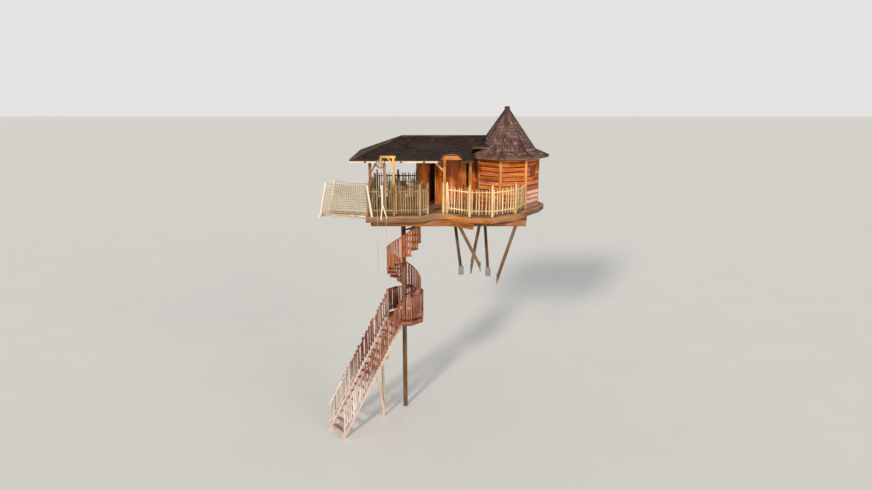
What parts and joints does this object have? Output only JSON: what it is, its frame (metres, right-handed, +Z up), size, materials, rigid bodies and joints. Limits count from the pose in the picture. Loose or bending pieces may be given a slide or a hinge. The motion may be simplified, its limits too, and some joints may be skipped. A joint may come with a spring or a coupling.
{
  "type": "tree house",
  "caption": "Timber cabin on a raised deck with an eight-sided turret, hipped porch roof, rope bridge, hoist, and a spiral stair over a straight flight.",
  "frame": {"origin": "middle of the steel plate that bears on the right trunk, on its face, at half the height of the front main beam", "axes": "+Y points from the front beam to the trunk and the back of the house, +X to the turret side, +Z up"},
  "size_m": [9.3122, 5.9329, 13.05],
  "materials": {
    "dark_timber": "rough sawn, shaded brown",
    "rim_timber": "weathered edge boards",
    "deck_boards": "worn walking boards",
    "steel": "galvanised, dull",
    "round_poles": "peeled round poles",
    "wall_boards": "oiled orange-brown boards",
    "corner_timber": "lighter amber posts",
    "black_iron": "blackened iron",
    "door_boards": "dark red-brown boards",
    "window_timber": "stained frame bars",
    "window_glass": "clear glass",
    "roof_shingles": "dark brown wooden shingles",
    "turret_shingles": "grey-red wooden shingles",
    "roof_caps": "dark ridge boards",
    "fascia_paint": "pale weathered edge boards",
    "rail_stakes": "peeled straw-coloured stakes",
    "stair_timber": "reddish brown boards",
    "stair_stakes": "reddish brown stakes",
    "bleached_poles": "bleached peeled poles",
    "bridge_boards": "grey-tan planks",
    "bridge_rope": "bleached natural rope",
    "hoist_timber": "amber squared timber",
    "hoist_wheel": "dark turned wood",
    "hoist_rope": "laid natural rope"
  },
  "bodies": {
    "house": {"main_beams": "dark_timber", "deck_joists": "dark_timber", "trimmer_frames": "dark_timber", "rim_boards": "rim_timber", "deck_floor": "deck_boards", "trunk_saddles": "steel", "knee_braces": "round_poles", "brace_shoes": "steel", "front_wall": "wall_boards", "door_header": "wall_boards", "left_wall": "wall_boards", "back_wall": "wall_boards", "end_wall": "wall_boards", "turret_walls": "wall_boards", "turret_window_walls": "wall_boards", "passage_header": "wall_boards", "turret_posts": "corner_timber", "room_posts": "corner_timber", "door_frame": "corner_timber", "hinge_pins": "black_iron", "window_frames": "window_timber", "window_glass": "window_glass", "main_roof": "roof_shingles", "ridge_caps": "roof_caps", "fascia_boards": "fascia_paint", "turret_roof": "turret_shingles", "turret_hip_caps": "roof_caps", "porch_posts": "corner_timber", "porch_beam": "corner_timber", "porch_braces": "corner_timber", "deck_rail_posts": "rail_stakes", "leaning_poles": "bleached_poles", "bay_railing": "rail_stakes", "porch_railing": "rail_stakes", "stairwell_guard": "rail_stakes", "mast": "round_poles", "spiral_treads": "stair_timber", "spiral_balusters": "stair_stakes", "spiral_handrail": "stair_stakes", "landing_floor": "stair_timber", "landing_frame": "stair_timber", "landing_rail_posts": "stair_stakes", "landing_railing": "stair_stakes", "stringers": "stair_timber", "flight_treads": "stair_timber", "flight_railings": "stair_stakes", "prop_post": "round_poles", "bridge_posts": "bleached_poles", "bridge_planks": "bridge_boards", "bridge_cables": "bridge_rope", "bridge_net_near": "bridge_rope", "bridge_net_far": "bridge_rope", "hoist_frame": "hoist_timber", "hoist_wheel": "hoist_wheel", "hoist_rope_near": "hoist_rope", "hoist_rope_far": "hoist_rope"},
    "door": {"door_leaf": "door_boards", "door_straps": "black_iron", "door_handle": "black_iron"}
  },
  "joints": [
    {"name": "door_hinge", "type": "hinge", "parent": "house", "child": "door", "pos_m": [-2.838, 2.328, 0.35], "axis": [0, 0, 1], "range_deg": [-50, 40]}
  ]
}
